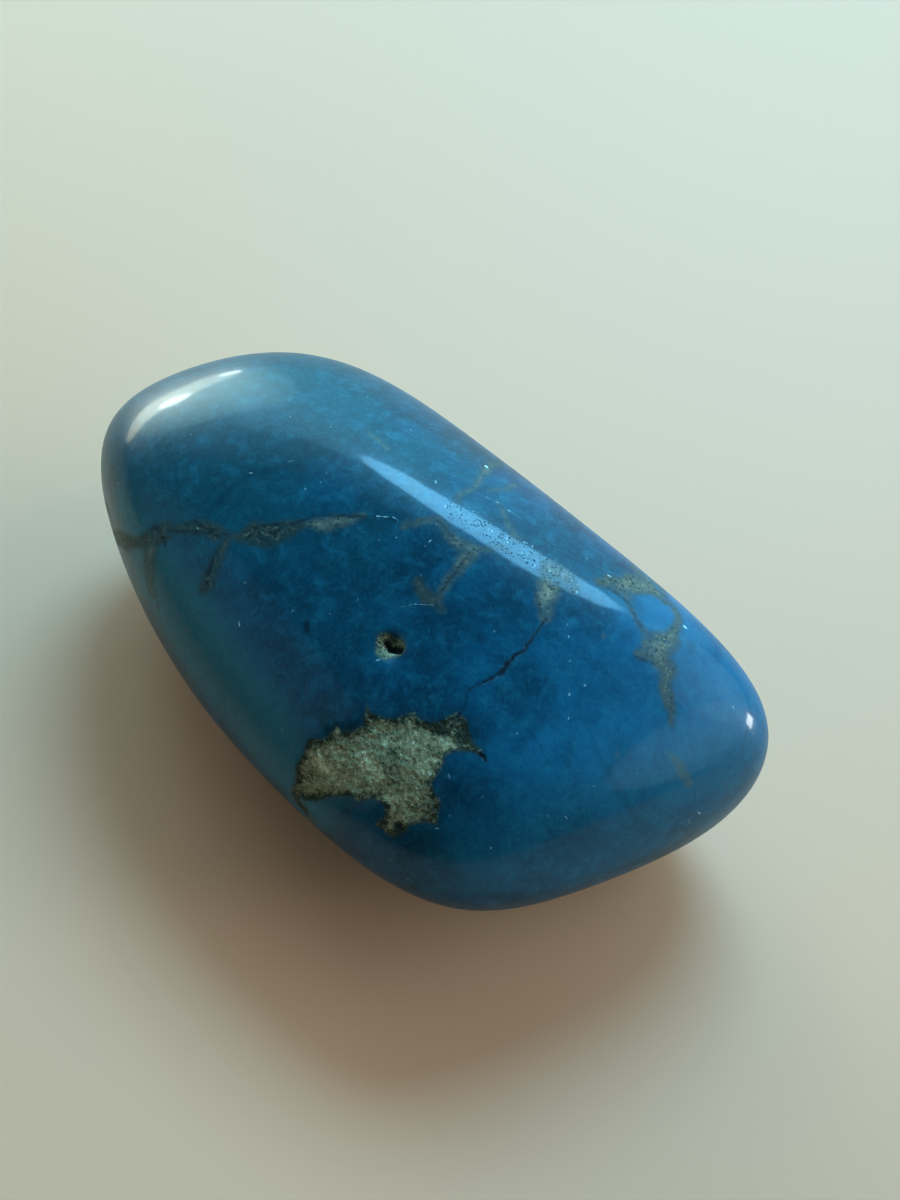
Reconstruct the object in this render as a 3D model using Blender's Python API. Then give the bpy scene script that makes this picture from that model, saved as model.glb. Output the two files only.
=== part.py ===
"""Blue howlite: one tumbled stone, lying on the worn flat of its underside.

Metres, +Z up. +X runs along the stone to its blunt nose, +Y to its steep back.
The origin is the middle of the bounding box, at the level the stone rests on.

The stone is a lump ground down by 22 soft flats. Each flat is a plane that faces
a direction from the middle of the lump, at a distance from it. The flats blend
over rounded edges, and a pit and two patches of softer matrix are sunk in them.
"""

from math import cos, exp, log, pi, radians, sin

import bmesh
import bpy
import numpy as np
from mathutils import Vector, noise

MM = 0.001

# Ground flats: azimuth from +X and elevation in degrees, distance from the middle in mm
FLATS = {
    "front crown": (-90, 70, 8.5),
    "nose crown": (-10, 75, 10.0),
    "tail crown": (170, 70, 12.0),
    "back crown": (85, 60, 9.0),
    "front shoulder": (-95, 35, 12.0),
    "right shoulder": (-35, 40, 16.25),
    "left shoulder": (-140, 40, 21.5),
    "nose shoulder": (-15, 40, 24.0),
    "tail shoulder": (165, 55, 19.25),
    "front wall": (-120, 5, 15.0),
    "left wall": (-135, 0, 21.75),
    "tail wall": (150, 5, 22.75),
    "back left wall": (115, 5, 16.0),
    "back wall": (80, 5, 10.0),
    "nose wall": (20, -5, 23.75),
    "right wall": (-30, 5, 20.5),
    "near wall": (-75, 5, 19.0),
    "front under": (-100, -40, 11.75),
    "right under": (-35, -40, 18.0),
    "back under": (80, -40, 9.75),
    "tail under": (155, -40, 18.75),
    "bottom": (0, -90, 10.0),
}
EDGE_POWER = 8  # higher is a crisper edge between two flats
FOOT_WEAR = 0.4 * MM  # worn off the lowest point, which leaves the flat it rests on
FOOT_EDGE = 0.5 * MM  # height over which that flat curves up into the sides

# Pits: azimuth, elevation, radius of the mouth and depth in mm
PITS = {
    "front pit": (-61, 43, 0.85, 0.7),
    "tail pit": (192, -6, 0.75, 0.5),
}
PIT_TAPER = 1.3  # higher is a narrower floor
# Matrix patches: round lobes that run together, as azimuth, elevation and radius in mm
PATCHES = {
    "front patch": [
        (-68, 15, 2.1),
        (-71, 19, 1.0),
        (-74, 9, 1.2),
        (-78, 5, 0.7),
        (-64, 23, 0.95),
        (-58, 23, 1.1),
        (-49, 23, 1.3),
        (-41, 25, 0.9),
        (-38, 23, 0.4),
        (-53, 16, 1.7),
        (-52, 13, 1.0),
        (-57, 9, 0.5),
    ],
    "back patch": [
        (50, -12, 1.9),
        (43, -6, 1.3),
        (60, -20, 1.5),
    ],
}
PATCH_BLEND = 0.2 * MM  # how far the lobes of a patch run into each other
PATCH_RAGGED = 0.25 * MM  # how far its outline wanders in and out
RAGGED_SIZE = 1.1 * MM
PATCH_DEPTH = 0.22 * MM  # matrix is softer than the stone, so tumbling sank it
PATCH_EDGE = 0.5 * MM  # width of the slope down from the polished stone
GRAIN_HEIGHT = 0.12 * MM  # lumps on the floor of a patch
GRAIN_SIZE = 0.55 * MM

LUMP_SUBDIVISIONS = 5
REFINE_MARGINS = (0.8 * MM, 0.1 * MM)  # round pits and patches, one halving of the edges each
PIT_REFINES = 1  # further halvings round the pits alone


def direction(azimuth, elevation):
    a, e = radians(azimuth), radians(elevation)
    return Vector((cos(a) * cos(e), sin(a) * cos(e), sin(e)))


FLAT_NORMALS = np.array([direction(az, el) for az, el, _ in FLATS.values()])
FLAT_DISTANCES = np.array([distance for _, _, distance in FLATS.values()]) * MM


def ground_point(ray):
    """The smooth surface along a unit ray: the flats joined by a rounded corner."""
    closeness = np.clip(FLAT_NORMALS @ ray, 0, None) / FLAT_DISTANCES
    return Vector(ray) * float((closeness**EDGE_POWER).sum() ** (-1 / EDGE_POWER))


PIT_SPOTS = [
    (ground_point(direction(az, el)), radius * MM, depth * MM)
    for az, el, radius, depth in PITS.values()
]
PATCH_LOBES = [
    (ground_point(direction(az, el)), radius * MM)
    for lobes in PATCHES.values()
    for az, el, radius in lobes
]


def inside_patch(point):
    """Distance in from the edge of the matrix, negative outside it."""
    depths = [radius - (point - middle).length for middle, radius in PATCH_LOBES]
    deepest = max(depths)
    blend = log(sum(exp((depth - deepest) / PATCH_BLEND) for depth in depths)) * PATCH_BLEND
    return deepest + blend + noise.noise(point / RAGGED_SIZE) * PATCH_RAGGED


def inside_pit(point):
    return max(radius - (point - middle).length for middle, radius, _ in PIT_SPOTS)


def smooth_step(value):
    value = min(max(value, 0.0), 1.0)
    return value * value * (3 - 2 * value)


def sunk(point):
    """How far the surface lies below the ground flats."""
    depth = 0.0
    for middle, radius, pit_depth in PIT_SPOTS:
        reach = (point - middle).length / radius
        if reach < 1:
            depth += pit_depth * cos(reach * pi / 2) ** PIT_TAPER
    matrix = smooth_step(inside_patch(point) / PATCH_EDGE)
    if matrix > 0:
        grain = noise.noise(point / GRAIN_SIZE) * GRAIN_HEIGHT
        depth += matrix * (PATCH_DEPTH + grain)
    return depth


def shaped(ray):
    point = ground_point(ray)
    return point - Vector(ray) * sunk(point)


def refine(lump, inside, margin):
    """Halve the edges of every triangle that has a corner within a margin of a feature."""
    near = {v for v in lump.verts if inside(ground_point(v.co.normalized())) > -margin}
    edges = {e for v in near for f in v.link_faces for e in f.edges}
    bmesh.ops.subdivide_edges(lump, edges=list(edges), cuts=1, use_grid_fill=True)
    bmesh.ops.triangulate(lump, faces=lump.faces)


def ground_lump():
    """A ball of triangles, finer round the pits and patches, laid on the ground flats."""
    lump = bmesh.new()
    bmesh.ops.create_icosphere(lump, subdivisions=LUMP_SUBDIVISIONS, radius=1)
    for margin in REFINE_MARGINS:
        refine(lump, lambda point: max(inside_patch(point), inside_pit(point)), margin)
    for _ in range(PIT_REFINES):
        refine(lump, inside_pit, REFINE_MARGINS[-1])
    for vert in lump.verts:
        vert.co = shaped(vert.co.normalized())
    return lump


def worn_height(height):
    """A height over the foot once the foot is worn flat: 0 below it, then a gentle curve up."""
    curve = min(max(height, 0.0), FOOT_EDGE) ** 2 / (2 * FOOT_EDGE)
    return curve + max(height - FOOT_EDGE, 0.0)


def wear_foot(lump):
    """Flatten the lowest part, and set the origin in the middle of the box on that level."""
    foot = min(v.co.z for v in lump.verts) + FOOT_WEAR
    xs = [v.co.x for v in lump.verts]
    ys = [v.co.y for v in lump.verts]
    middle = Vector(((min(xs) + max(xs)) / 2, (min(ys) + max(ys)) / 2, foot))
    bmesh.ops.translate(lump, verts=lump.verts, vec=-middle)
    for vert in lump.verts:
        vert.co.z = worn_height(vert.co.z)


def howlite_material():
    material = bpy.data.materials.new("dyed howlite")
    material.use_nodes = True
    shader = material.node_tree.nodes["Principled BSDF"]
    shader.inputs["Base Color"].default_value = (0.008, 0.12, 0.27, 1)
    shader.inputs["Roughness"].default_value = 0.25
    shader.inputs["Metallic"].default_value = 0.0
    return material


def build_stone(collection):
    lump = ground_lump()
    wear_foot(lump)
    mesh = bpy.data.meshes.new("stone")
    lump.to_mesh(mesh)
    lump.free()
    mesh.materials.append(howlite_material())
    mesh.shade_smooth()
    stone = bpy.data.objects.new("stone", mesh)
    collection.objects.link(stone)
    return stone


def main():
    for old in list(bpy.data.objects):
        bpy.data.objects.remove(old, do_unlink=True)
    collection = bpy.data.collections.new("blue howlite")
    bpy.context.scene.collection.children.link(collection)
    build_stone(collection)


main()
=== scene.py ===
# Blue howlite: one dyed and tumbled stone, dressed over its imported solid

from math import cos, radians, sin

import bpy
import numpy as np
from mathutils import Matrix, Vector
from mathutils.bvhtree import BVHTree
from mathutils.noise import noise as perlin


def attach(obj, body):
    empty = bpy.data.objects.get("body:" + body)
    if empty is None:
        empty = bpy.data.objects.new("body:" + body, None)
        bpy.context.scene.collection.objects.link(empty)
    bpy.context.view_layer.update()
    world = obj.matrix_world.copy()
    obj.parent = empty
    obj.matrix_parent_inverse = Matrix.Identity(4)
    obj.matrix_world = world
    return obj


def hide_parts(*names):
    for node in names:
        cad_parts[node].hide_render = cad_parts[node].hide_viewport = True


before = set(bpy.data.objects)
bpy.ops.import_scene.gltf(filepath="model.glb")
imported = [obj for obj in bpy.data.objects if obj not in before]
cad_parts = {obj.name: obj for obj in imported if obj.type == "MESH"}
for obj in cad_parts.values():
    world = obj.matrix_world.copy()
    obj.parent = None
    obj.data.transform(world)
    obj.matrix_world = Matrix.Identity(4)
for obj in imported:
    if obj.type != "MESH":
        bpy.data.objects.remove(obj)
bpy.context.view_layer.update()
mm = 0.001

# The camera, at the angle that the stone is seen from

camera = {
    "framePixels": (900, 1200),
    "focalPixels": 1500,
    "sensor": 36,
    "azimuth": 36.5,  # degrees round from -Y towards +X
    "elevation": 57,
    "distance": 88 * mm,
    "target": Vector((2.2 * mm, 3.1 * mm, 9.3 * mm)),
}


def cameraBack():
    a, e = radians(camera["azimuth"]), radians(camera["elevation"])
    return Vector((sin(a) * cos(e), -cos(a) * cos(e), sin(e)))


def setCamera():
    place = camera["target"] + cameraBack() * camera["distance"]
    tilt = radians(90 - camera["elevation"])
    bpy.ops.object.camera_add(location=place, rotation=(tilt, 0, radians(camera["azimuth"])))
    made = bpy.context.object
    made.data.sensor_width = camera["sensor"]
    made.data.lens = camera["sensor"] * camera["focalPixels"] / max(camera["framePixels"])
    made.data.clip_start = 1 * mm
    bpy.context.scene.camera = made
    return made


cameraObject = setCamera()
bpy.context.view_layer.update()
print("camera set")

# The blank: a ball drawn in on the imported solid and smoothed, so that its flats run into each other

blank = {
    "middle": Vector((0.6 * mm, 1.55 * mm, 9.3 * mm)),  # azimuths and elevations are seen from here
    "reach": 30 * mm,
    "ballLevels": 7,
    "solidLevels": 2,
    "smoothRounds": 12,
}


def only(piece):
    # in object mode, with this piece alone selected and active
    bpy.ops.object.select_all(action="DESELECT")
    piece.select_set(True)
    bpy.context.view_layer.objects.active = piece


def apply(piece, kind, **settings):
    only(piece)
    modifier = piece.modifiers.new(kind.lower(), kind)
    for name, value in settings.items():
        setattr(modifier, name, value)
    bpy.ops.object.modifier_apply(modifier=modifier.name)


def weld(piece):
    only(piece)
    bpy.ops.object.mode_set(mode="EDIT")
    bpy.ops.mesh.select_all(action="SELECT")
    bpy.ops.mesh.remove_doubles(threshold=0.001 * mm)
    bpy.ops.object.mode_set(mode="OBJECT")


def copyOf(piece, name):
    # to lay points on: it isn't part of the object
    made = bpy.data.objects.new(name, piece.data.copy())
    bpy.context.scene.collection.objects.link(made)
    return made


def drawnBall():
    solid = copyOf(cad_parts["stone"], "solid copy")
    weld(solid)
    apply(solid, "SUBSURF", levels=blank["solidLevels"], render_levels=blank["solidLevels"])
    bpy.ops.object.select_all(action="DESELECT")
    bpy.ops.mesh.primitive_ico_sphere_add(
        subdivisions=blank["ballLevels"], radius=blank["reach"], location=blank["middle"],
        calc_uvs=False)
    ball = bpy.context.object
    ball.name = "tumbled-stone"
    bpy.ops.object.transform_apply(location=True, rotation=True, scale=True)
    apply(ball, "SHRINKWRAP", target=solid, wrap_method="PROJECT",
          use_negative_direction=True, use_positive_direction=False)
    apply(ball, "SMOOTH", factor=0.5, iterations=blank["smoothRounds"])
    bpy.data.objects.remove(solid)
    return ball


stone = drawnBall()
form = copyOf(stone, "form")
apply(form, "SUBSURF", levels=1, render_levels=1, use_limit_surface=False, quality=1)
formTree = BVHTree.FromObject(form, bpy.context.evaluated_depsgraph_get())
print("blank drawn", len(stone.data.polygons), "faces")

# Places on the form, by a pixel of the frame or by an angle from its middle

laying = {
    "pixelStep": 5,
    "pixelWave": 6,
    "angleStep": 1.5,  # degrees
    "angleWave": 5,
    "waveLayers": (0.5, 50.5),  # the noise is cut at these, for the wander across and the wander up
}


def castPixel(x, y):
    # the line of sight through a pixel, counted from the frame's left and top edges
    wide, high = camera["framePixels"]
    across = (x - wide / 2) / camera["focalPixels"]
    up = (high / 2 - y) / camera["focalPixels"]
    turn = cameraObject.matrix_world
    along = (turn.to_3x3() @ Vector((across, up, -1))).normalized()
    point = formTree.ray_cast(turn.translation, along)[0]
    if point is None:
        raise ValueError(f"no stone at pixel {x}, {y}")
    return point


def castAngle(azimuth, elevation):
    a, e = radians(azimuth), radians(elevation)
    outwards = Vector((cos(a) * cos(e), sin(a) * cos(e), sin(e)))
    return formTree.ray_cast(blank["middle"] + outwards * blank["reach"], -outwards)[0]


def pixelSize(point):
    # in metres, at the depth of a point
    depth = (cameraObject.matrix_world.translation - point) @ cameraBack()
    return depth / camera["focalPixels"]


def alongPath(stops, step):
    # the stops of a path with more between them, no further apart than a step
    yield stops[0]
    for start, end in zip(stops, stops[1:]):
        gap = np.hypot(end[0] - start[0], end[1] - start[1])
        pieces = max(1, int(np.ceil(gap / step)))
        for n in range(1, pieces + 1):
            yield tuple(a + (b - a) * n / pieces for a, b in zip(start, end))


def jagged(x, y, wave, jag):
    # a place moved by up to a jag, the same way in each run
    return [
        place + perlin(Vector((x / wave, y / wave, layer))) * jag
        for place, layer in zip((x, y), laying["waveLayers"])
    ]


def pixelPath(stops, jag=0):
    # spots and half widths in mm, from x, y and half width in pixels, jagged by some pixels
    spots = []
    for x, y, half in alongPath(stops, laying["pixelStep"]):
        point = castPixel(*jagged(x, y, laying["pixelWave"], jag))
        spots.append((np.array(point) / mm, half * pixelSize(point) / mm))
    return spots


def anglePath(stops, jag=2):
    # the same, from azimuth and elevation in degrees and half width in mm, jagged by some degrees
    spots = []
    for azimuth, elevation, half in alongPath(stops, laying["angleStep"]):
        point = castAngle(*jagged(azimuth, elevation, laying["angleWave"], jag))
        spots.append((np.array(point) / mm, half))
    return spots


# Markings. A path in the camera's frame is x, y and half width in pixels; one on a hidden side is
# azimuth, elevation and half width in mm. Before a path of matrix come its tone, from 0, brown, to 1,
# pale, and its cover, which is lower where blue shows through.

matrixPaths = {
    "left vein": (0.2, 0.75, [
        (116, 537, 7), (126, 543, 9), (136, 543, 4), (150, 538, 9), (163, 533, 10), (172, 530, 3),
        (184, 528, 4), (192, 527, 6), (205, 529, 6), (216, 532, 8), (224, 535, 3), (236, 537, 3),
        (244, 536, 6),
    ]),
    "olive knot": (0.15, 0.75, [
        (244, 536, 6), (256, 533, 11), (270, 535, 12), (284, 531, 10), (296, 527, 5), (306, 522, 2),
    ]),
    "left branch": (0.2, 0.65, [(226, 541, 4), (220, 556, 5), (213, 572, 7), (206, 584, 8), (203, 592, 4)]),
    "lens": (0.6, 0.6, [
        (308, 524, 1.5), (318, 525, 6), (330, 524.5, 7.5), (343, 521.5, 5.5), (354, 519, 3),
        (362, 517, 1.5),
    ]),
    "middle vein": (0.45, 0.6, [
        (403, 526.5, 1.5), (410, 524, 2.5), (419, 521, 3), (430, 518.5, 2.5), (438, 519.5, 3),
        (446, 531, 4), (455, 540, 5), (464, 546, 6), (472, 549, 6), (480, 550, 3.5), (494, 547, 2.5),
        (507, 549, 1),
    ]),
    "middle branch": (0.35, 0.65, [
        (472, 552, 6), (464, 561, 7), (456, 571, 5), (447, 583, 3.5), (440, 593, 3), (436, 604, 3.5),
        (441, 611, 2.5),
    ]),
    "brown spot": (0.2, 0.7, [(416, 582, 4), (421, 589, 5), (427, 596, 7), (432, 602, 5)]),
    "ridge knot": (0.5, 0.55, [(543, 574, 4), (548, 566, 8), (556, 570, 9), (566, 580, 10), (573, 587, 6)]),
    "ridge knot foot": (0.5, 0.75, [(548, 585, 12), (546, 597, 10), (546, 608, 7), (545, 618, 4)]),
    "right knot": (0.28, 0.86, [
        (598, 583, 3), (611, 582, 8), (624, 586, 11), (636, 582, 14), (648, 586, 11), (657, 592, 7),
        (665, 600, 4), (673, 607, 3), (679, 614, 3.5), (677, 625, 4), (672, 635, 6),
    ]),
    "right knot rim": (0.4, 0.6, [(632, 569, 4), (640, 574, 6), (652, 582, 6)]),
    "right knot foot": (0.35, 0.6, [(624, 590, 7), (628, 599, 4)]),
    "right link": (0.3, 0.6, [(629, 605, 2), (636, 618, 2), (643, 630, 3), (650, 638, 5.5)]),
    "right patch": (0.3, 0.86, [(648, 645, 7), (660, 645, 14), (670, 640, 10), (656, 655, 8), (640, 655, 4)]),
    "right tail": (0.28, 0.8, [
        (664, 660, 10), (668, 675, 6), (664, 685, 5), (668, 697, 6), (671, 704, 5), (672, 712, 2),
        (672, 724, 1),
    ]),
    "upper vein": (0.7, 0.4, [
        (458, 501, 1.5), (465, 492, 2), (474, 487, 2), (481, 477, 2), (485, 469, 4.5), (492, 464, 3),
        (499, 464, 2.5),
    ]),
    "upper branch": (0.6, 0.35, [(490, 491, 1), (504, 489, 2), (514, 484, 2)]),
    "upper foot": (0.65, 0.3, [(499, 503, 1), (504, 514, 2), (508, 526, 2), (517, 537, 4.5)]),
    "front pit ring": (0.7, 1, [(385, 642, 9), (386, 650, 10), (398, 650, 10)]),
    "left fall": (0.45, 0.55, [(150, 548, 9), (149, 565, 8), (150, 580, 8), (151, 592, 5)]),
    "patch tail": (0.35, 1, [(296, 795, 4), (303, 806, 4), (309, 815, 3)]),
}

# the outline of the large front patch, in pixels
frontPatch = [
    (366, 706), (371, 713), (383, 718), (393, 720), (403, 716), (414, 713), (419, 720), (431, 723),
    (441, 721), (449, 716), (457, 713), (466, 720), (469, 733), (474, 744), (482, 751), (485, 759),
    (479, 753), (466, 750), (453, 751), (444, 756), (443, 764), (438, 773), (431, 783), (433, 793),
    (441, 801), (438, 812), (436, 824), (424, 822), (411, 824), (406, 831), (393, 837), (386, 832),
    (375, 824), (385, 817), (385, 807), (380, 801), (366, 799), (358, 801), (350, 797), (330, 797),
    (317, 801), (304, 800), (298, 796), (291, 793), (296, 778), (296, 766), (303, 754), (308, 739),
    (325, 739), (337, 727), (342, 732), (354, 730), (364, 725), (366, 710),
]
frontPatchLook = (0.62, 1)  # tone and cover

# inside the front patch, where the matrix is darker or paler than the rest of it, and partly painted light
patchTones = {
    "top rim": (0.3, [
        (309, 742, 5), (324, 744, 4), (338, 733, 4), (352, 734, 4), (366, 728, 4), (370, 718, 5),
        (384, 722, 4), (404, 722, 4), (432, 727, 5), (448, 722, 6), (460, 719, 5), (466, 730, 4),
        (472, 745, 4), (480, 753, 3),
    ]),
    "left rim": (0.4, [
        (309, 744, 6), (303, 756, 7), (299, 768, 7), (298, 782, 7), (300, 795, 7), (312, 798, 4),
        (326, 792, 6), (336, 789, 4),
    ]),
    "lower rim": (0.42, [
        (350, 794, 4), (366, 795, 4), (379, 797, 4), (388, 806, 4), (389, 820, 5), (384, 830, 5),
        (394, 833, 5), (404, 829, 3),
    ]),
    "right olive": (0.45, [(431, 796, 5), (432, 806, 8), (429, 817, 6)]),
    # partly painted light: these three are paler where less light falls and darker where more does
    "middle": (0.8, [(332, 750, 5), (343, 763, 10), (352, 780, 9), (338, 785, 4)]),
    "pale left": (1.15, [(320, 757, 4), (324, 768, 6), (331, 774, 4)]),
    "right arm": (0.08, [(440, 730, 6), (455, 727, 7), (466, 740, 6)]),
    "bright middle": (1.05, [(364, 758, 6), (371, 768, 8), (378, 776, 6)]),
    "bright right": (0.65, [(404, 741, 6), (418, 750, 8), (427, 762, 6)]),
    "bright foot": (0.65, [(392, 790, 5), (399, 802, 6), (402, 814, 5)]),
    "grey vein": (0.4, [(390, 744, 3), (393, 758, 5), (391, 772, 6), (392, 783, 3)]),
    "tan spot": (1.0, [(336, 729, 2.5), (339, 731, 2.5)]),
}

# open cracks
crackPaths = {
    "main crack": [
        (545, 619, 1.6), (538, 630, 1.6), (531, 640, 1.8), (525, 650, 2), (514, 656, 2), (509, 663, 3.2),
        (502, 671, 3.2), (490, 679, 2.2), (479, 685, 1.5), (471, 689, 1),
    ],
    "main crack foot": [(466, 705, 0.6), (458, 715, 1.5), (449, 720, 1.5)],
    "patch tip": [(479, 753, 1.5), (484, 757, 3), (485, 761, 2)],
    "patch pit": [(397, 825, 4), (401, 827, 4)],
}

# dark lines that aren't open
linePaths = {
    "left vein edge": [(168, 531, 1), (187, 531, 1.5), (216, 534, 1.5), (230, 535, 1)],
    "knot edge": [(244, 532, 1), (262, 526, 1.5), (282, 524, 1.5), (296, 523, 1)],
    "lens edge": [
        (298, 522, 1.2), (313, 516.5, 1.2), (332, 515, 1.2), (345, 515.5, 2), (364, 517, 2), (375, 516, 1),
    ],
    "knot specks": [(248, 538, 1.5), (256, 531, 3), (262, 539, 2), (270, 543, 2.5)],
    "knot specks above": [(266, 530, 2), (274, 533, 3), (284, 528, 2), (290, 530, 2)],
    "vein specks": [(150, 529, 1.5), (157, 526, 2.5), (163, 538, 2), (166, 546, 2)],
    "vein specks right": [(186, 524, 1.5), (194, 521, 2), (207, 528, 2), (217, 535, 3)],
    "branch specks": [(219, 548, 2), (214, 556, 1.5), (207, 580, 3), (206, 589, 2)],
    "lens tail": [(384, 517, 0.8), (391, 519, 1.5), (396, 521, 0.8)],
    "hair loop": [
        (405, 469, 0.8), (396, 474, 0.8), (388, 480, 0.8), (382, 490, 0.8), (380.5, 496, 0.8),
        (384, 497.5, 0.8), (386, 491, 0.8),
    ],
    "middle vein edge": [(419, 521, 0.8), (433, 518, 1), (440, 522, 1), (448, 532, 1), (457, 542, 1)],
    "middle branch edge": [
        (470, 552, 1.2), (463, 562, 1.5), (455, 573, 1.2), (447, 583, 1.2), (438, 596, 1.2),
        (436, 605, 1.5), (442, 611, 1),
    ],
    "right knot edge": [(608, 588, 1), (620, 596, 1.5), (629, 604, 1.5)],
    "right patch edge": [(634, 657, 1.5), (646, 661, 1.5), (654, 664, 1)],
    "ridge knot edge": [(534, 584, 1), (537, 600, 1.5), (541, 614, 1)],
    "right link edge": [(630, 606, 1), (637, 619, 1.2), (644, 631, 1)],
    "left tick": [(139, 596, 1.5), (140, 600, 1.5)],
    "left dot": [(157, 603, 2.5), (158, 609, 2.5)],
    "middle dot": [(306, 622, 3), (307, 631, 3.5)],
    "patch notch": [(465, 750, 1), (452, 751, 1)],
    "patch foot": [(389, 842, 0.8), (396, 848, 0.8)],
    "main crack tail": [(471, 689, 1), (467, 692, 0.8), (466, 705, 0.8)],
}

# darker hairs and bars in the blue
shadePaths = {
    "below the crack": [(541, 718, 3), (527, 737, 3), (516, 748, 2)],
    "short bar": [(570, 744, 2), (567, 764, 2)],
    "long hair": [(602, 761, 1), (620, 790, 1), (637, 820, 1)],
    "second hair": [(592, 745, 1), (611, 777, 1), (629, 806, 1)],
    "left band": [(298, 466, 2), (274, 468, 2), (250, 475, 2), (230, 490, 2), (216, 505, 2)],
    "back hair": [(400, 414, 1), (366, 432, 1), (347, 446, 1), (332, 461, 1)],
    "upright bar": [(401, 558, 1.5), (401, 572, 1.5)],
    "second bar": [(429, 553, 1.2), (429, 572, 1.2)],
    "long bar": [(399.5, 686, 1.2), (399.5, 710, 1.2)],
    "slant bar": [(356, 648, 1.5), (360, 680, 1.5)],
    "tail hair": [(668, 708, 1.5), (672, 720, 1.5), (672, 729, 1.5)],
    "upper arc": [(470, 612, 2), (482, 620, 2), (497, 622, 2), (512, 616, 2), (523, 604, 2)],
    "lower arc": [(452, 600, 1.5), (458, 618, 2), (470, 632, 2), (486, 640, 1.5)],
}

# pale ticks and hairs of dust, and two painted glints on the rim of the lens
ticks = [
    [(569.5, 690, 1.3), (569.5, 695, 1.3)], [(567, 623, 0.7), (568, 627, 0.7)],
    [(568.6, 636, 0.9), (568.8, 637, 0.9)], [(570, 659, 1), (570, 661, 1)],
    [(568.6, 717, 0.7), (568.6, 719, 0.7)], [(448, 774, 1.1), (450, 778, 1.1)],
    [(435, 828, 1), (440, 828.5, 1)], [(547, 815, 0.9), (549, 819, 0.9)],
    [(556, 814, 0.7), (558, 818, 0.7)], [(565, 816, 0.8), (568, 820, 0.8)],
    [(697, 811, 1.2), (700, 814, 1.2)], [(688, 820, 0.8), (690, 823, 0.8)],
    [(491, 847, 0.8), (491, 849, 0.8)], [(608, 575, 1.2), (611, 577, 1.2)],
    [(684, 626, 1.6), (686, 628, 1.6)], [(713, 708, 0.8), (713, 710, 0.8)],
    [(733, 706, 0.9), (734, 711, 0.9)], [(596, 648, 0.7), (598, 650, 0.7)],
    [(170, 460, 0.9), (170, 462, 0.9)], [(191, 433, 0.9), (191, 435, 0.9)],
    [(248, 473.5, 0.8), (254, 472.5, 0.8)], [(288, 462, 0.8), (294, 460, 0.8)],
    [(305, 488, 0.8), (305.5, 490, 0.8)], [(239, 622, 1.2), (239.5, 626, 1.2)],
    [(425, 546, 0.9), (431, 540, 0.9)], [(421, 575, 0.9), (421.5, 576, 0.9)],
    [(229, 702, 0.8), (230, 704, 0.8)], [(239, 718, 0.7), (239.5, 720, 0.7)],
    [(273, 685, 0.8), (273, 687, 0.8)], [(436, 481, 1.2), (436, 483, 1.2)],
    # painted glints on the rim of the lens
    [(376, 516, 0.9), (388, 517, 0.9)], [(393, 517, 0.8), (399, 521, 0.8)],
    [(486, 466, 2), (488, 468, 2)], [(476, 492.5, 0.6), (488, 498, 0.6), (499, 503, 0.6)],
    [(508, 510, 0.7), (522, 519, 0.7)], [(393, 609, 0.6), (414, 604, 0.6), (434, 605, 0.6)],
]

# tan marks with no edge
stainPaths = {
    "back thread": [(368, 432, 1.5), (378, 440, 2), (388, 449, 1.5)],
    "right ghost": [(666, 752, 1.5), (677, 762, 4), (683, 773, 5), (689, 784, 4)],
    "tan spots": [(617, 753, 2), (617, 755, 2)],
    "tan dot": [(604, 635, 1.5), (604, 637, 1.5)],
}

# pinholes
specklePaths = {
    "ridge": [
        (452, 508, 8), (480, 525, 10), (510, 545, 12), (540, 562, 14), (565, 580, 12), (580, 590, 8),
    ],
    "olive knot": [(250, 535, 5), (262, 534, 9), (275, 534, 9), (288, 530, 7)],
    "left vein": [(127, 543, 5), (157, 538, 5), (187, 531, 3), (216, 534, 4)],
    "left branch": [(218, 560, 2), (208, 584, 5)],
    "right knot": [(615, 583, 3), (636, 583, 5), (652, 590, 4)],
    "right patch": [(655, 645, 7), (664, 662, 5), (667, 685, 3)],
    "front patch tip": [(440, 730, 5), (455, 722, 6), (466, 735, 6)],
    "front pit ring": [(384, 642, 8), (387, 654, 7), (400, 650, 8)],
}

# where the left face is painted lighter and greyer: painted light and sheen
paintedSheenPaths = {
    "left face": [(120, 500, 10), (150, 570, 35), (200, 650, 40), (260, 730, 40), (320, 810, 20)],
}

# the deepest part of the pit
pitPaths = {
    "front pit": [(387, 644, 3), (391, 649, 4), (399, 650, 4)],
}

# on the hidden sides, where the veins go on round the stone
hiddenMatrix = {
    "left vein, behind": (0.3, 0.75, [
        (-157, 2.5, 0.18), (-165, 1, 0.2), (-174, -3, 0.25), (-181, -4, 0.35), (-188, -5, 0.45),
        (-194, -6, 0.3), (-203, -2, 0.18), (-214, 3, 0.12),
    ]),
    "tail vein": (0.4, 0.6, [(180, -5, 0.2), (176, -14, 0.18), (170, -22, 0.25), (163, -30, 0.15)]),
    "nose vein": (0.4, 0.65, [(24.5, 22, 0.2), (30, 16, 0.3), (36, 8, 0.35), (41, 0, 0.5), (45, -5, 0.7)]),
    "back vein": (0.5, 0.6, [
        (87, 35, 0.12), (91, 28, 0.1), (94, 18, 0.15), (90, 8, 0.12), (84, 0, 0.18), (78, -8, 0.15),
        (70, -14, 0.3), (64, -18, 0.5),
    ]),
    "back branch": (0.5, 0.55, [
        (94, 18, 0.12), (104, 12, 0.15), (114, 9, 0.22), (122, 3, 0.12), (131, 1, 0.1),
    ]),
    "back patch": (0.6, 1, [(50, -12, 1.7)]),
    "back patch nose": (0.6, 1, [(43, -6, 1.1)]),
    "back patch foot": (0.5, 1, [(60, -20, 1.3)]),
    "under tail": (0.35, 0.8, [
        (-75, -1, 0.2), (-78, -10, 0.3), (-84, -20, 0.2), (-88, -31, 0.25), (-98, -40, 0.12),
        (-108, -48, 0.1),
    ]),
    "tail pit ring": (0.5, 1, [(192, -6, 0.75)]),
}

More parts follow.
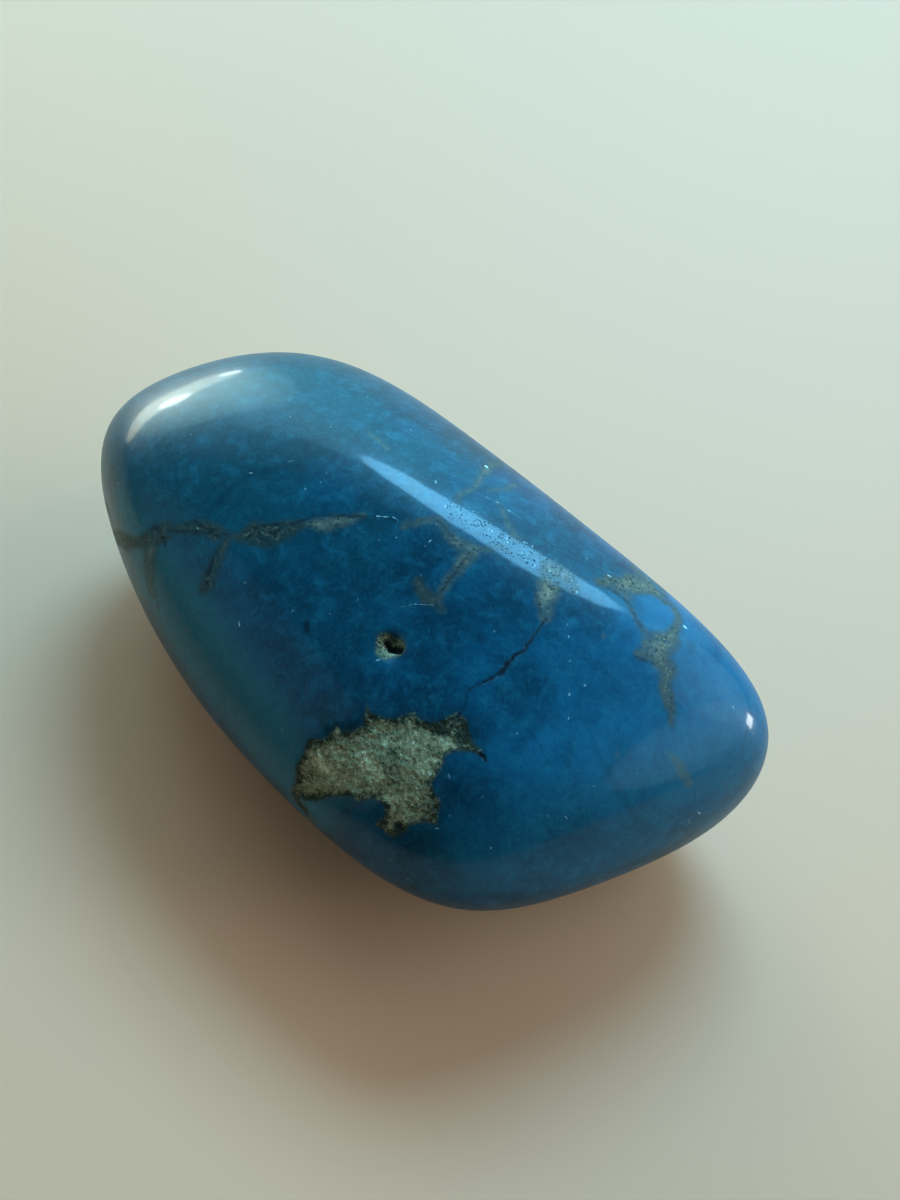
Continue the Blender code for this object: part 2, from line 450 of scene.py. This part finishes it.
hiddenLines = {
    "back crack": [(94, 18, 0.06), (100, 24, 0.05), (108, 28, 0.06), (118, 33, 0.04)],
    "under crack": [(10, -20, 0.05), (-4, -28, 0.06), (-20, -33, 0.07), (-36, -30, 0.05), (-50, -34, 0.04)],
    "tail crack": [(150, 10, 0.04), (156, 2, 0.06), (160, -8, 0.06), (158, -18, 0.04)],
}

fieldLimit = 1.5  # mm from an edge, past which a marking no longer matters


def reach(spots, path):
    # how far inside a path's edge each spot lies, in mm, negative outside
    points = np.array([point for point, _ in path])
    halves = [half for _, half in path]
    middle = points.mean(0)
    span = np.linalg.norm(points - middle, axis=1).max() + max(halves) + fieldLimit
    near = np.flatnonzero(np.linalg.norm(spots - middle, axis=1) < span)
    best = np.full(len(near), -fieldLimit)
    for n in range(max(1, len(points) - 1)):
        start, end = points[n], points[min(n + 1, len(points) - 1)]
        wider = halves[min(n + 1, len(points) - 1)] - halves[n]
        along = end - start
        part = np.clip((spots[near] - start) @ along / max(along @ along, 1e-9), 0, 1)
        gap = np.linalg.norm(spots[near] - start - part[:, None] * along, axis=1)
        best = np.maximum(best, halves[n] + wider * part - gap)
    field = np.full(len(spots), -fieldLimit)
    field[near] = best
    return field


def patchReach(spots):
    # the same for the front patch, in the plane that best fits its outline
    corners = np.array([castPixel(x, y) for x, y in frontPatch]) / mm
    middle = corners.mean(0)
    plane = np.linalg.svd(corners - middle)[2][:2].T
    flat = (corners - middle) @ plane
    span = np.linalg.norm(flat, axis=1).max() + fieldLimit
    near = np.flatnonzero(np.linalg.norm(spots - middle, axis=1) < span)
    places = (spots[near] - middle) @ plane
    edge = np.full(len(near), fieldLimit)
    crossings = np.zeros(len(near), int)
    for start, end in zip(flat, np.roll(flat, -1, axis=0)):
        along = end - start
        part = np.clip((places - start) @ along / (along @ along), 0, 1)
        edge = np.minimum(edge, np.linalg.norm(places - start - part[:, None] * along, axis=1))
        spans = (start[1] > places[:, 1]) != (end[1] > places[:, 1])
        meet = start[0] + (places[:, 1] - start[1]) * along[0] / along[1]
        crossings += spans & (places[:, 0] < meet)
    field = np.full(len(spots), -fieldLimit)
    field[near] = np.where(crossings % 2 == 1, edge, -edge)
    return field


def laidPaths():
    # every path as spots on the form
    groups = {
        "matrix": [pixelPath(path, jag=3) for _, _, path in matrixPaths.values()],
        "crack": [pixelPath(path, jag=2) for path in crackPaths.values()],
        "line": [pixelPath(path, jag=1) for path in linePaths.values()],
        "tick": [pixelPath(path) for path in ticks],
    }
    groups["matrix"] += [anglePath(path) for _, _, path in hiddenMatrix.values()]
    groups["line"] += [anglePath(path) for path in hiddenLines.values()]
    plain = {"shade": shadePaths, "stain": stainPaths, "speckle": specklePaths, "paintedSheen": paintedSheenPaths,
             "pit": pitPaths}
    for kind, paths in plain.items():
        groups[kind] = [pixelPath(path) for path in paths.values()]
    return groups


laid = laidPaths()
matrixTonesAndCovers = [look for *look, _ in (*matrixPaths.values(), *hiddenMatrix.values())]
laidTones = [(tone, pixelPath(path)) for tone, path in patchTones.values()]
print("markings laid", sum(len(paths) for paths in laid.values()), "paths")


def vertexSpots(piece):
    flat = np.empty(len(piece.data.vertices) * 3, np.float32)
    piece.data.vertices.foreach_get("co", flat)
    return flat.reshape(-1, 3) / mm


def markings(piece, kinds):
    # each kind of marking as a value for each vertex, in mm in from its edge
    spots = vertexSpots(piece)
    fields = {}
    for kind in kinds:
        field = np.max([reach(spots, path) for path in laid[kind]], axis=0)
        if kind == "matrix":
            field = np.maximum(field, patchReach(spots))
        fields[kind] = np.clip(field, -fieldLimit, fieldLimit)
    return fields


blending = {
    "paths": 0.12,  # mm over which the look of one path turns to that of the next
    "deepest": 0.5,  # mm in from an edge, past which deeper counts for no more
    "tones": 0.5,  # mm over which a tone inside the patch comes in
    "toneAtEdge": 0.6,  # how much of it there is at its edge
}


def matrixLooks(piece):
    # the tone and cover of the nearest matrix, blended where two paths meet
    spots = vertexSpots(piece)
    fields = [reach(spots, path) for path in laid["matrix"]] + [patchReach(spots)]
    weights = np.exp(np.minimum(fields, blending["deepest"]) / blending["paths"])
    shares = weights / weights.sum(axis=0)
    tone, cover = np.array([*matrixTonesAndCovers, frontPatchLook]).T @ shares
    for spotTone, path in laidTones:
        share = np.clip(reach(spots, path) / blending["tones"] + blending["toneAtEdge"], 0, 1)
        tone = tone + (spotTone - tone) * share
    return tone, cover


# Finer faces where the markings are, laid on the form again

refineMargins = [
    {"matrix": 0.15, "crack": 0.15, "tick": 0.12},  # mm out from each kind of marking
    {"matrix": 0, "crack": 0.06, "tick": 0.04},
]


def refine(piece, wanted):
    corners = np.empty(len(piece.data.loops), np.int32)
    piece.data.loops.foreach_get("vertex_index", corners)
    faces = wanted[corners.reshape(-1, 3)].any(axis=1)
    only(piece)
    bpy.context.tool_settings.mesh_select_mode = (False, False, True)
    bpy.ops.object.mode_set(mode="EDIT")
    bpy.ops.mesh.select_all(action="DESELECT")
    bpy.ops.object.mode_set(mode="OBJECT")
    piece.data.polygons.foreach_set("select", faces)
    bpy.ops.object.mode_set(mode="EDIT")
    bpy.ops.mesh.subdivide(number_cuts=1)
    bpy.ops.mesh.select_all(action="SELECT")
    bpy.ops.mesh.quads_convert_to_tris()
    bpy.ops.object.mode_set(mode="OBJECT")
    apply(piece, "SHRINKWRAP", target=form, wrap_method="NEAREST_SURFACEPOINT")


for margins in refineMargins:
    fields = markings(stone, margins)
    refine(stone, np.any([fields[kind] > -margin for kind, margin in margins.items()], axis=0))
    print("refined to", len(stone.data.polygons), "faces")

# Relief, and the markings stored on the stone for its material

relief = {
    # a size, a height and the marking that has it; the polished stone isn't quite even anywhere
    "clouds": {
        "roll": (5 * mm, 0.03 * mm, ""),
        "lumps": (0.7 * mm, 0.12 * mm, "matrix"),
        "grains": (0.22 * mm, 0.09 * mm, "matrix"),
    },
    "depths": {"crack": 0.07 * mm, "pit": 0.25 * mm},
    # mm in from the edge of a marking where its relief starts and is whole
    "edges": {"matrix": (-0.04, 0.12), "crack": (0, 0.12), "pit": (-0.15, 0.2)},
}
wholeCover = (0.88, 0.98)  # where matrix turns solid: thin veins with less are level with the stone


def smooth(value, low, high):
    part = np.clip((value - low) / (high - low), 0, 1)
    return part * part * (3 - 2 * part)


def storeGroup(piece, name, weights):
    faintest = 0.01
    group = piece.vertex_groups.new(name=name)
    for vertex in np.flatnonzero(weights > faintest):
        group.add([int(vertex)], float(weights[vertex]), "REPLACE")


def storeValue(piece, name, values):
    made = piece.data.attributes.new(name, "FLOAT", "POINT")
    made.data.foreach_set("value", np.ascontiguousarray(values, np.float32))


def cloudTexture(name, size):
    made = bpy.data.textures.new(name, "CLOUDS")
    made.noise_scale = size
    made.noise_depth = 3
    return made


def carve(piece, fields):
    weights = {kind: smooth(fields[kind], *ends) for kind, ends in relief["edges"].items()}
    weights["matrix"] *= smooth(fields["cover"], *wholeCover)
    for kind, values in weights.items():
        storeGroup(piece, kind, values)
    for name, (size, height, group) in relief["clouds"].items():
        apply(piece, "DISPLACE", texture=cloudTexture(name, size), strength=height, mid_level=0.5,
              texture_coords="LOCAL", vertex_group=group)
    for group, depth in relief["depths"].items():
        apply(piece, "DISPLACE", strength=-depth, mid_level=0, vertex_group=group)
    piece.vertex_groups.clear()


fields = markings(stone, laid)
fields["tone"], fields["cover"] = matrixLooks(stone)
carve(stone, fields)
for name, values in fields.items():
    storeValue(stone, name, values)
only(stone)
bpy.ops.object.shade_smooth()
bpy.data.objects.remove(form)
print("relief carved")

# Materials. Sizes and places in them are in mm.


class Wire:
    # an output socket that sums can be written on
    def __init__(self, tree, socket=None):
        self.tree = tree
        self.socket = socket

    def node(self, kind, settings=None, inputs=None, output=0):
        made = self.tree.nodes.new(kind)
        for name, value in (settings or {}).items():
            setattr(made, name, value)
        for key, value in (inputs or {}).items():
            if isinstance(value, Wire):
                self.tree.links.new(value.socket, made.inputs[key])
            else:
                made.inputs[key].default_value = value
        return Wire(self.tree, made.outputs[output])

    def maths(self, operation, *values):
        return self.node("ShaderNodeMath", {"operation": operation}, dict(enumerate(values)))

    def __add__(self, other):
        return self.maths("ADD", self, other)

    def __sub__(self, other):
        return self.maths("SUBTRACT", self, other)

    def __mul__(self, other):
        return self.maths("MULTIPLY", self, other)

    def __radd__(self, other):
        return self.maths("ADD", other, self)

    def __rsub__(self, other):
        return self.maths("SUBTRACT", other, self)

    def __rmul__(self, other):
        return self.maths("MULTIPLY", other, self)


def larger(first, second):
    return first.maths("MAXIMUM", first, second)


def attribute(wire, name):
    return wire.node("ShaderNodeAttribute", {"attribute_name": name}, output="Fac")


def rise(value, low, high):
    # 0 below low and 1 above high
    inputs = {"Value": value, "From Min": low, "From Max": high}
    return value.node("ShaderNodeMapRange", {"interpolation_type": "SMOOTHSTEP"}, inputs)


def fall(value, low, high):
    return 1 - rise(value, low, high)


def noise(places, size, detail=3, roughness=0.5):
    inputs = {"Vector": places, "Scale": 1 / size, "Detail": detail, "Roughness": roughness}
    return places.node("ShaderNodeTexNoise", None, inputs)


def cells(places, size, feature="F1"):
    inputs = {"Vector": places, "Scale": 1 / size}
    return places.node("ShaderNodeTexVoronoi", {"feature": feature}, inputs)


def vectorMaths(wire, operation, *values, output=0):
    return wire.node("ShaderNodeVectorMath", {"operation": operation}, dict(enumerate(values)), output)


def measured(places, direction):
    # how far along a direction
    return vectorMaths(places, "DOT_PRODUCT", places, direction, output="Value")


def warped(places, size, by):
    # places pushed about by up to that many mm
    inputs = {"Vector": places, "Scale": 1 / size, "Detail": 2}
    push = places.node("ShaderNodeTexNoise", None, inputs, output="Color")
    middled = vectorMaths(places, "SUBTRACT", push, (0.5, 0.5, 0.5))
    scaled = vectorMaths(places, "MULTIPLY", middled, (2 * by,) * 3)
    return vectorMaths(places, "ADD", places, scaled)


def mixed(share, under, over):
    # one colour over another
    under, over = (value if isinstance(value, Wire) else (*value, 1) for value in (under, over))
    return share.node("ShaderNodeMix", {"data_type": "RGBA"}, {0: share, 6: under, 7: over}, output=2)


def layered(colour, look, layers):
    # colours of a look laid on in turn, each by a mask, the most that it covers and its name
    for mask, most, name in layers:
        colour = mixed(mask * most, colour, look[name])
    return colour


howlite = {
    "deepBlue": (0.0015, 0.037, 0.07),
    "midBlue": (0.002, 0.071, 0.138),
    "paleBlue": (0.015, 0.17, 0.26),
    "greenBlue": (0.005, 0.062, 0.082),
    # painted sheen: lighter blue towards the nose and high up
    "noseSheenBlue": (0.012, 0.15, 0.3),
    # a darker blue, also used for the painted shade low down
    "shadeBlue": (0.001, 0.025, 0.05),
    # painted light and sheen on the left face, in teal and grey
    "paintedSheenTeal": (0.004, 0.18, 0.25),
    "paintedSheenGrey": (0.13, 0.2, 0.2),
    "fringe": (0.02, 0.05, 0.05),
    "crackBlack": (0.003, 0.014, 0.024),
    # pale ticks and dust, and the painted glints
    "tickAndGlintWhite": (0.45, 0.65, 0.7),
    "stainOlive": (0.1, 0.13, 0.1),
    "roughness": 0.34,  # of the stone under its polish
    "specular": 0.1,
    "polish": 0.16,
    "polishRoughness": 0.085,
    "polishIor": 1.9,
    "dents": 0.01,
}

matrixLook = {
    "umber": (0.03, 0.035, 0.022),
    "olive": (0.14, 0.13, 0.08),
    "greyGreen": (0.38, 0.31, 0.17),
    "pale": (0.85, 0.72, 0.45),
    "spark": (0.95, 0.9, 0.72),
    "film": (0.16, 0.17, 0.15),
    "teal": (0.22, 0.42, 0.3),
    "roughness": 0.65,
    "grain": 0.17,
    "bump": 0.1,
}

# noise by name: its size, detail and roughness, then the size and reach of a warp if it has one
noises = {
    "clouds": (4, 4, 0.6, 6, 1.5),
    "mottle": (0.9, 4, 0.7, 1, 0.5),
    "grain": (0.22, 3, 0.75),
    "streaks": (1, 4, 0.6),
    "tailTint": (5, 3, 0.5),
    "noseSheenEdge": (4, 3, 0.5),
    "smears": (0.5, 4, 0.7),
    "scuffs": (0.15, 3, 0.7),
    "dents": (0.6, 4, 0.6),
    "coarseEdge": (0.4, 4, 0.75),
    "fineEdge": (0.16, 3, 0.6),
    "tickBreaks": (0.3, 2, 0.5),
    "film": (0.3, 4, 0.8, 0.4, 0.2),
    "lumps": (0.9, 4, 0.6, 0.8, 0.3),
    "sand": (0.08, 3, 0.75),
}

# how far coarse and fine noise push the edge of a marking, and where it starts and is whole
edges = {
    "fringe": (0.16, 0.06, -0.3, 0.1),
    "crack": (0.1, 0.06, -0.1, 0.1),
    "line": (0.1, 0.06, -0.1, 0.1),
    "shade": (0.2, 0, -0.35, 0.15),
    "tick": (0, 0.03, 0, 0.04),
    "stain": (0.24, 0.09, -0.2, 0.15),
    "paintedSheen": (0, 0, -1.2, 1.2),
    "speckle": (0.5, 0, -0.4, 0.3),
    "pit": (0.25, 0.25, -0.05, 0.12),
}

# small dots: how far they are pushed about, the space for each, and where it is whole and ends in that
dots = {
    "pinhole": (0.08, 0.17, 0.22, 0.4),
    "glint": (0.1, 0.26, 0.12, 0.3),
    "spark": (0.15, 0.3, 0.12, 0.3),
    "umber": (0.12, 0.27, 0.2, 0.5),
    "dust": (0.2, 1.1, 0.03, 0.07),
}
dotWave = 0.4

# areas that others keep to: their size, and the noise where they start and are whole
areas = {
    "pinhole": (0.45, 0.36, 0.5),
    "glint": (0.6, 0.45, 0.6),
    "umber": (0.6, 0.42, 0.56),
    "dust": (2, 0.45, 0.6),
    "unbroken": (0.45, 0.38, 0.56),
    "hairs": (2.5, 0.48, 0.62),
    "filled": (0.9, 0.36, 0.52),
    "teal": (1.6, 0.56, 0.66),
}


def noiseOf(places, name):
    size, detail, roughness, *warp = noises[name]
    return noise(warped(places, *warp) if warp else places, size, detail, roughness)


def centred(places, name):
    # from -1 to 1
    return (noiseOf(places, name) - 0.5) * 2


def dotted(places, kind):
    push, size, whole, end = dots[kind]
    return fall(cells(warped(places, dotWave, push), size), whole, end)


def within(places, kind):
    size, start, whole = areas[kind]
    return rise(noise(places, size), start, whole)


def stoneStreaks(places):
    # fine upright hairs in the dyed stone
    a, e = radians(camera["azimuth"]), radians(camera["elevation"])
    across = (cos(a), sin(a), 0)
    up = (-sin(a) * sin(e), cos(a) * sin(e), cos(e))
    out = tuple(cameraBack())
    stretches = ((across, 5), (up, 0.7), (out, 5))
    inputs = {n: measured(places, side) * times for n, (side, times) in enumerate(stretches)}
    return noiseOf(places.node("ShaderNodeCombineXYZ", None, inputs), "streaks")


def blueColour(places, streaks):
    mottle = noiseOf(places, "mottle")
    grain = noiseOf(places, "grain")
    net = cells(warped(places, 2.5, 1.4), 3, "DISTANCE_TO_EDGE")
    along = measured(places, (1, 0, 0))
    height = measured(places, (0, 0, 1))
    towardsTail = rise(centred(places, "tailTint") * 15 - along, -6, 14)
    # painted sheen: the blue lighter towards the nose and higher up
    noseSheen = rise(centred(places, "noseSheenEdge") * 8 + along, 8, 20) * rise(height, 6, 13)
    return layered(howlite["deepBlue"], howlite, [
        (rise(noiseOf(places, "clouds"), 0.34, 0.68), 1, "midBlue"),
        (towardsTail, 0.75, "greenBlue"),
        (noseSheen, 0.6, "noseSheenBlue"),
        # painted shade: darker low down, towards the floor
        (fall(height, 1, 9), 0.6, "shadeBlue"),
        (rise(mottle, 0.45, 0.75), 0.4, "paleBlue"),
        (fall(mottle, 0.25, 0.5), 0.3, "shadeBlue"),
        (rise(streaks, 0.55, 0.85), 0.35, "paleBlue"),
        (rise(grain, 0.52, 0.75), 0.3, "paleBlue"),
        (fall(grain, 0.28, 0.48), 0.3, "shadeBlue"),
        (fall(net, 0.006, 0.05) * within(places, "hairs"), 0.25, "shadeBlue"),
    ])


def grainCells(places):
    # a value of its own for each grain of the matrix
    bent = warped(places, dotWave, 0.12)
    inputs = {"Vector": bent, "Scale": 1 / matrixLook["grain"]}
    colour = bent.node("ShaderNodeTexVoronoi", None, inputs, output="Color")
    return colour.node("ShaderNodeSeparateColor", None, {"Color": colour})


def matrixColour(places, tone, inside, solid):
    # browns and greys, more of the pale ones where the tone is higher, and brown along the edge
    lumps = noiseOf(places, "lumps") - 0.5
    rim = fall(inside + lumps * 0.5, 0.02, 0.45)
    shape = (grainCells(places) - 0.5) * 0.5 + lumps * 0.9
    level = tone + shape + centred(places, "sand") - rim * 0.38 - 0.03
    film = (1 - solid) * rise(tone, 0.1, 0.35)
    umber = dotted(places, "umber") * within(places, "umber") * (1 - solid)
    colour = layered(matrixLook["umber"], matrixLook, [
        (rise(level, 0, 0.3), 1, "olive"),
        (rise(level, 0.3, 0.7), 1, "greyGreen"),
        (rise(level, 0.8, 1.2), 1, "pale"),
        (within(places, "teal") * rise(tone, 0.45, 0.7), 0.12, "teal"),
        (dotted(places, "spark") * rise(level, 0.5, 0.9), 0.85, "spark"),
        (film, 0.5, "film"),
        (umber, 0.9, "umber"),
    ])
    return colour, shape


def markingMasks(places, values, solid):
    # each marking as 1 inside it and 0 outside
    coarse = centred(places, "coarseEdge")
    fine = centred(places, "fineEdge")
    masks = {}
    for name, (coarsePush, finePush, start, whole) in edges.items():
        pushed = values[name] + coarse * coarsePush + fine * finePush
        masks[name] = rise(pushed, start, whole)
    ragged = values["matrix"] + coarse * 0.08 + fine * 0.03
    masks["matrix"] = rise(ragged, solid * 0.14 - 0.26, 0.22 - solid * 0.08)
    masks["glint"] = masks["speckle"] * dotted(places, "glint") * within(places, "glint")
    masks["glint"] = masks["glint"] * fall(values["cover"], 0.5, 0.65)
    masks["speckle"] = masks["speckle"] * dotted(places, "pinhole") * within(places, "pinhole")
    unbroken = within(places, "unbroken")
    masks["crack"] = masks["crack"] * (unbroken * 0.7 + 0.3)
    masks["line"] = masks["line"] * (unbroken * 0.6 + 0.35)
    masks["tick"] = masks["tick"] * rise(noiseOf(places, "tickBreaks"), 0.35, 0.6)
    masks["dark"] = larger(masks["crack"], masks["pit"])
    masks["dust"] = dotted(places, "dust") * within(places, "dust")
    return masks


def matrixCover(places, mask, cover, solid):
    # thinner in places, where blue shows through, but not where the matrix is solid
    filled = larger(within(places, "filled") * 0.4 + 0.6, solid)
    opaque = rise(noiseOf(places, "film"), 0.15, 0.55)
    return mask * cover * filled * larger(opaque, solid)


def polishLeft(places, streaks, rough, smears):
    # less on rough matrix, on worn spots and low on the sides
    worn = rise(smears, 0.45, 0.8) * 0.3 + rise(streaks, 0.5, 0.8) * 0.2
    worn = worn + rise(noiseOf(places, "scuffs"), 0.5, 0.75) * 0.25
    height = rise(measured(places, (0, 0, 1)), 5, 13) * 0.9 + 0.1
    return (1 - rough) * (1 - worn) * height * howlite["polish"]


def stoneMaterial(stored):
    # made from the values stored on the stone
    material = bpy.data.materials.new("dyed howlite")
    material.use_nodes = True
    tree = material.node_tree
    tree.nodes.clear()
    wire = Wire(tree)
    objectPlaces = wire.node("ShaderNodeTexCoord", output="Object")
    places = vectorMaths(wire, "MULTIPLY", objectPlaces, (1 / mm,) * 3)
    values = {name: attribute(wire, name) for name in stored}
    values["fringe"] = values["matrix"]
    solid = rise(values["cover"], *wholeCover)
    streaks = stoneStreaks(places)
    smears = noiseOf(places, "smears")
    masks = markingMasks(places, values, solid)
    cover = matrixCover(places, masks["matrix"], values["cover"], solid)
    matrix, shape = matrixColour(places, values["tone"], values["matrix"], solid)
    blue = layered(blueColour(places, streaks), howlite, [
        # painted light and sheen on the left face
        (masks["paintedSheen"], 0.6, "paintedSheenTeal"),
        (masks["paintedSheen"] * rise(smears, 0.35, 0.8), 0.3, "paintedSheenGrey"),
        (masks["shade"], 0.4, "shadeBlue"),
        (masks["stain"], 0.45, "stainOlive"),
        (masks["fringe"], 0.4, "fringe"),
    ])
    colour = layered(mixed(cover, blue, matrix), howlite, [
        (masks["speckle"], 0.8, "crackBlack"),
        # painted glints: white dots in the highlight along the ridge
        (masks["glint"], 0.8, "tickAndGlintWhite"),
        (masks["line"], 0.8, "crackBlack"),
        (masks["dark"], 0.95, "crackBlack"),
        (masks["tick"], 0.9, "tickAndGlintWhite"),
        (masks["dust"], 0.4, "tickAndGlintWhite"),
    ])
    rough = larger(larger(cover, masks["speckle"]), masks["dark"])
    roughness = howlite["roughness"] + rough * (matrixLook["roughness"] - howlite["roughness"])
    dents = noiseOf(places, "dents") * howlite["dents"]
    height = shape * masks["matrix"] * solid * matrixLook["bump"] + dents
    bump = wire.node("ShaderNodeBump", None, {"Strength": 1, "Distance": mm, "Height": height})
    shader = wire.node("ShaderNodeBsdfPrincipled", None, {
        "Base Color": colour,
        "Roughness": roughness,
        "Normal": bump,
        "Specular IOR Level": howlite["specular"],
        "Coat Weight": polishLeft(places, streaks, rough, smears),
        "Coat Roughness": howlite["polishRoughness"],
        "Coat IOR": howlite["polishIor"],
    })
    output = tree.nodes.new("ShaderNodeOutputMaterial")
    tree.links.new(shader.socket, output.inputs["Surface"])
    return material


stone.data.materials.append(stoneMaterial(fields))
print("stone dressed")

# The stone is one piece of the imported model's one body

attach(stone, "root")
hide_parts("stone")

# Floor and lights

studio = {
    "floorSize": 3,
    "floorColour": (0.95, 0.42, 0.25),
    "floorRoughness": 0.6,
    "world": (0.6, 0.9, 1),
    "worldStrength": 0.05,
    "lightDistance": 0.4,
}

# turn is degrees right of straight ahead from the camera, sizes are in metres, power in watts.
# A light with a spread in degrees fades towards its edges.
lights = {
    "window": {"turn": 22, "height": 45.5, "size": (0.235, 0.13), "power": 1.9, "colour": (0.19, 0.62, 1)},
    "pale wall": {"turn": 14, "height": 24, "size": (0.58, 0.36), "power": 1.15,
                  "colour": (0.28, 0.82, 1), "shape": "RECTANGLE"},
    "soft wall": {"turn": -12, "height": 34, "size": (0.44, 0.5), "power": 0.12,
                  "colour": (0.42, 0.93, 1), "spread": 70},
    "right wall": {"turn": 80, "height": 32, "size": (0.4, 0.36), "power": 0.2,
                   "colour": (0.5, 0.9, 1), "spread": 80},
    "right side": {"turn": 116, "height": 22, "size": (0.34, 0.34), "power": 0.1,
                   "colour": (0.6, 0.95, 1), "spread": 80},
    "right end": {"turn": 46, "height": 12, "size": (0.4, 0.3), "power": 0.02,
                  "colour": (0.7, 0.95, 1), "spread": 70},
    "left end": {"turn": -100, "height": 24, "size": (0.44, 0.44), "power": 0.06,
                 "colour": (0.5, 0.95, 1), "spread": 80},
    "low window": {"turn": -34, "height": 3, "size": (0.26, 0.09), "power": 0.07,
                   "colour": (1, 1, 0.75), "spread": 60},
    "blob": {"turn": -30, "height": 8, "size": (0.05, 0.035), "power": 0.12, "colour": (0.85, 1, 1)},
    "dash": {"turn": -18, "height": 2.5, "size": (0.03, 0.014), "power": 0.03, "colour": (0.9, 1, 1)},
    "glow": {"turn": -26, "height": 12, "size": (0.3, 0.22), "power": 0.065,
             "colour": (0.5, 0.97, 1), "spread": 50},
    "nose light": {"turn": 94, "height": 4, "size": (0.07, 0.07), "power": 0.6,
                   "colour": (0.9, 1, 1), "shape": "RECTANGLE"},
}


def addFloor():
    bpy.ops.object.select_all(action="DESELECT")
    bpy.ops.mesh.primitive_plane_add(size=studio["floorSize"])
    floor = bpy.context.object
    floor.name = "floor"
    material = bpy.data.materials.new("floor")
    material.use_nodes = True
    shader = material.node_tree.nodes["Principled BSDF"]
    shader.inputs["Base Color"].default_value = (*studio["floorColour"], 1)
    shader.inputs["Roughness"].default_value = studio["floorRoughness"]
    floor.data.materials.append(material)


def addLight(name, turn, height, size, power, colour, shape="ELLIPSE", spread=180):
    t, h = radians(turn), radians(height)
    a = radians(camera["azimuth"])
    ahead = Vector((-sin(a), cos(a), 0))
    across = Vector((cos(a), sin(a), 0))
    towards = (ahead * cos(t) + across * sin(t)) * cos(h) + Vector((0, 0, sin(h)))
    facing = towards.to_track_quat("Z", "Y").to_euler()
    bpy.ops.object.light_add(type="AREA", location=towards * studio["lightDistance"], rotation=facing)
    light = bpy.context.object
    light.name = name
    light.data.shape = shape
    light.data.spread = radians(spread)
    light.data.size, light.data.size_y = size
    light.data.energy = power
    light.data.color = colour


def setWorld():
    world = bpy.data.worlds.new("studio")
    world.use_nodes = True
    background = world.node_tree.nodes["Background"]
    background.inputs["Color"].default_value = (*studio["world"], 1)
    background.inputs["Strength"].default_value = studio["worldStrength"]
    bpy.context.scene.world = world


addFloor()
setWorld()
bpy.context.scene.view_settings.view_transform = "Standard"
for name, facts in lights.items():
    addLight(name, **facts)
print("floor and lights set")
